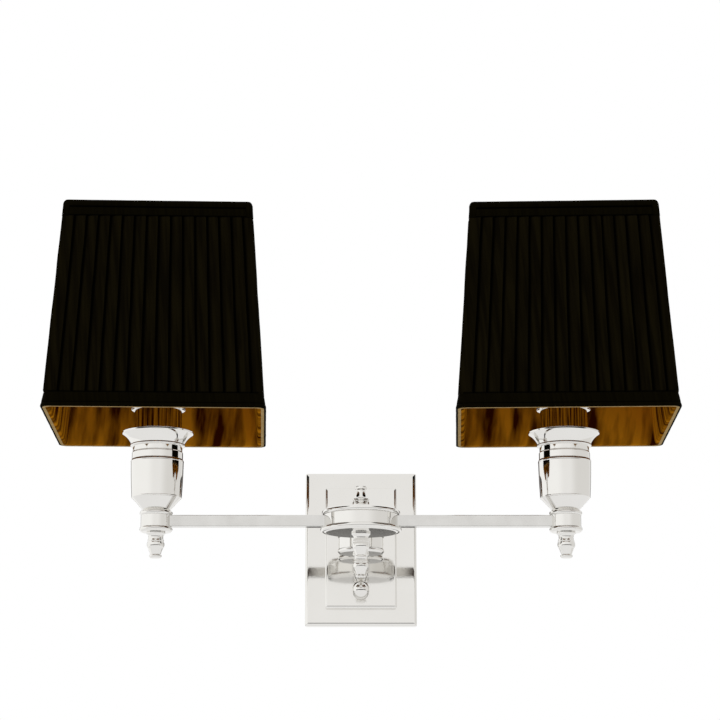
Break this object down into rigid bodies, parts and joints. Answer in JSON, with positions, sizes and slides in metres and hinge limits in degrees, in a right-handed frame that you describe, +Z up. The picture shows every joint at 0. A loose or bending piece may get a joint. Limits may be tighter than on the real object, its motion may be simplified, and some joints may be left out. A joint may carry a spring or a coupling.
{
  "type": "double arm wall sconce",
  "caption": "Wall light: stepped plate, knuckle and forward bar to a drum whose side arms carry upright lamp holders with square pleated shades.",
  "frame": {"origin": "centre of the wall bracket's two screw slots, on the wall's surface", "axes": "+X to the viewer's right along the two arms, +Y into the wall, +Z up; the lamp reaches out along -Y"},
  "size_m": [0.5256, 0.2738, 0.322],
  "materials": {
    "polished_nickel": "mirror-polished nickel plate, lacquered",
    "zinc_steel": "zinc-plated",
    "brass": "bare",
    "insulator": "matt",
    "shade_wire": "satin",
    "pleated_fabric": "fine woven, knife-pleated",
    "satin_lining": "satin",
    "band_fabric": "folded woven binding"
  },
  "bodies": {
    "wall_mount": {"wall_bracket": "zinc_steel", "bracket_studs": "zinc_steel", "wall_plate": "polished_nickel", "plate_panel": "polished_nickel", "ball_nuts": "polished_nickel", "terminal_block": "insulator", "terminal_screws": "brass", "earth_screw": "brass", "stem_washer": "zinc_steel", "stem_nut": "zinc_steel", "stem_tube": "zinc_steel", "wall_boss": "polished_nickel", "knuckle_yoke": "polished_nickel", "knuckle_rod": "zinc_steel", "knuckle_top_finial": "polished_nickel", "knuckle_bottom_finial": "polished_nickel"},
    "arms": {"knuckle_barrel": "polished_nickel", "forward_bar": "polished_nickel", "drum_body": "polished_nickel", "drum_top_cap": "polished_nickel", "drum_bottom_cap": "polished_nickel", "drum_splices": "insulator", "drum_rod": "zinc_steel", "drum_top_finial": "polished_nickel", "drum_bottom_finial": "polished_nickel", "cup_nuts": "zinc_steel", "arm_bar_right": "polished_nickel", "collar_right": "polished_nickel", "holder_finial_right": "polished_nickel", "lamp_tube_right": "zinc_steel", "cup_right": "polished_nickel", "candle_sleeve_right": "polished_nickel", "lampholder_right": "insulator", "socket_shell_right": "brass", "socket_contact_right": "brass", "arm_bar_left": "polished_nickel", "collar_left": "polished_nickel", "holder_finial_left": "polished_nickel", "lamp_tube_left": "zinc_steel", "cup_left": "polished_nickel", "candle_sleeve_left": "polished_nickel", "lampholder_left": "insulator", "socket_shell_left": "brass", "socket_contact_left": "brass"},
    "shade_left": {"carrier_ring_left": "shade_wire", "carrier_arms_left": "shade_wire", "shade_frame_left": "shade_wire", "shade_lining_left": "satin_lining", "shade_cover_left": "pleated_fabric", "shade_top_band_left": "band_fabric", "shade_bottom_band_left": "band_fabric"},
    "shade_nut_left": {"shade_nut_left": "insulator"},
    "shade_right": {"carrier_ring_right": "shade_wire", "carrier_arms_right": "shade_wire", "shade_frame_right": "shade_wire", "shade_lining_right": "satin_lining", "shade_cover_right": "pleated_fabric", "shade_top_band_right": "band_fabric", "shade_bottom_band_right": "band_fabric"},
    "shade_nut_right": {"shade_nut_right": "insulator"}
  },
  "joints": [
    {"name": "arm_swing", "type": "hinge", "parent": "wall_mount", "child": "arms", "pos_m": [0, -0.045, 0], "axis": [0, 0, 1], "range_deg": [-15, 15]},
    {"name": "shade_turn_left", "type": "hinge", "parent": "arms", "child": "shade_left", "pos_m": [-0.169, -0.18, 0.0966], "axis": [0, 0, 1], "continuous": true},
    {"name": "shade_turn_right", "type": "hinge", "parent": "arms", "child": "shade_right", "pos_m": [0.169, -0.18, 0.0966], "axis": [0, 0, 1], "continuous": true},
    {"name": "shade_nut_turn_left", "type": "hinge", "parent": "arms", "child": "shade_nut_left", "pos_m": [-0.169, -0.18, 0.1012], "axis": [0, 0, 1], "continuous": true},
    {"name": "shade_nut_turn_right", "type": "hinge", "parent": "arms", "child": "shade_nut_right", "pos_m": [0.169, -0.18, 0.1012], "axis": [0, 0, 1], "continuous": true}
  ]
}
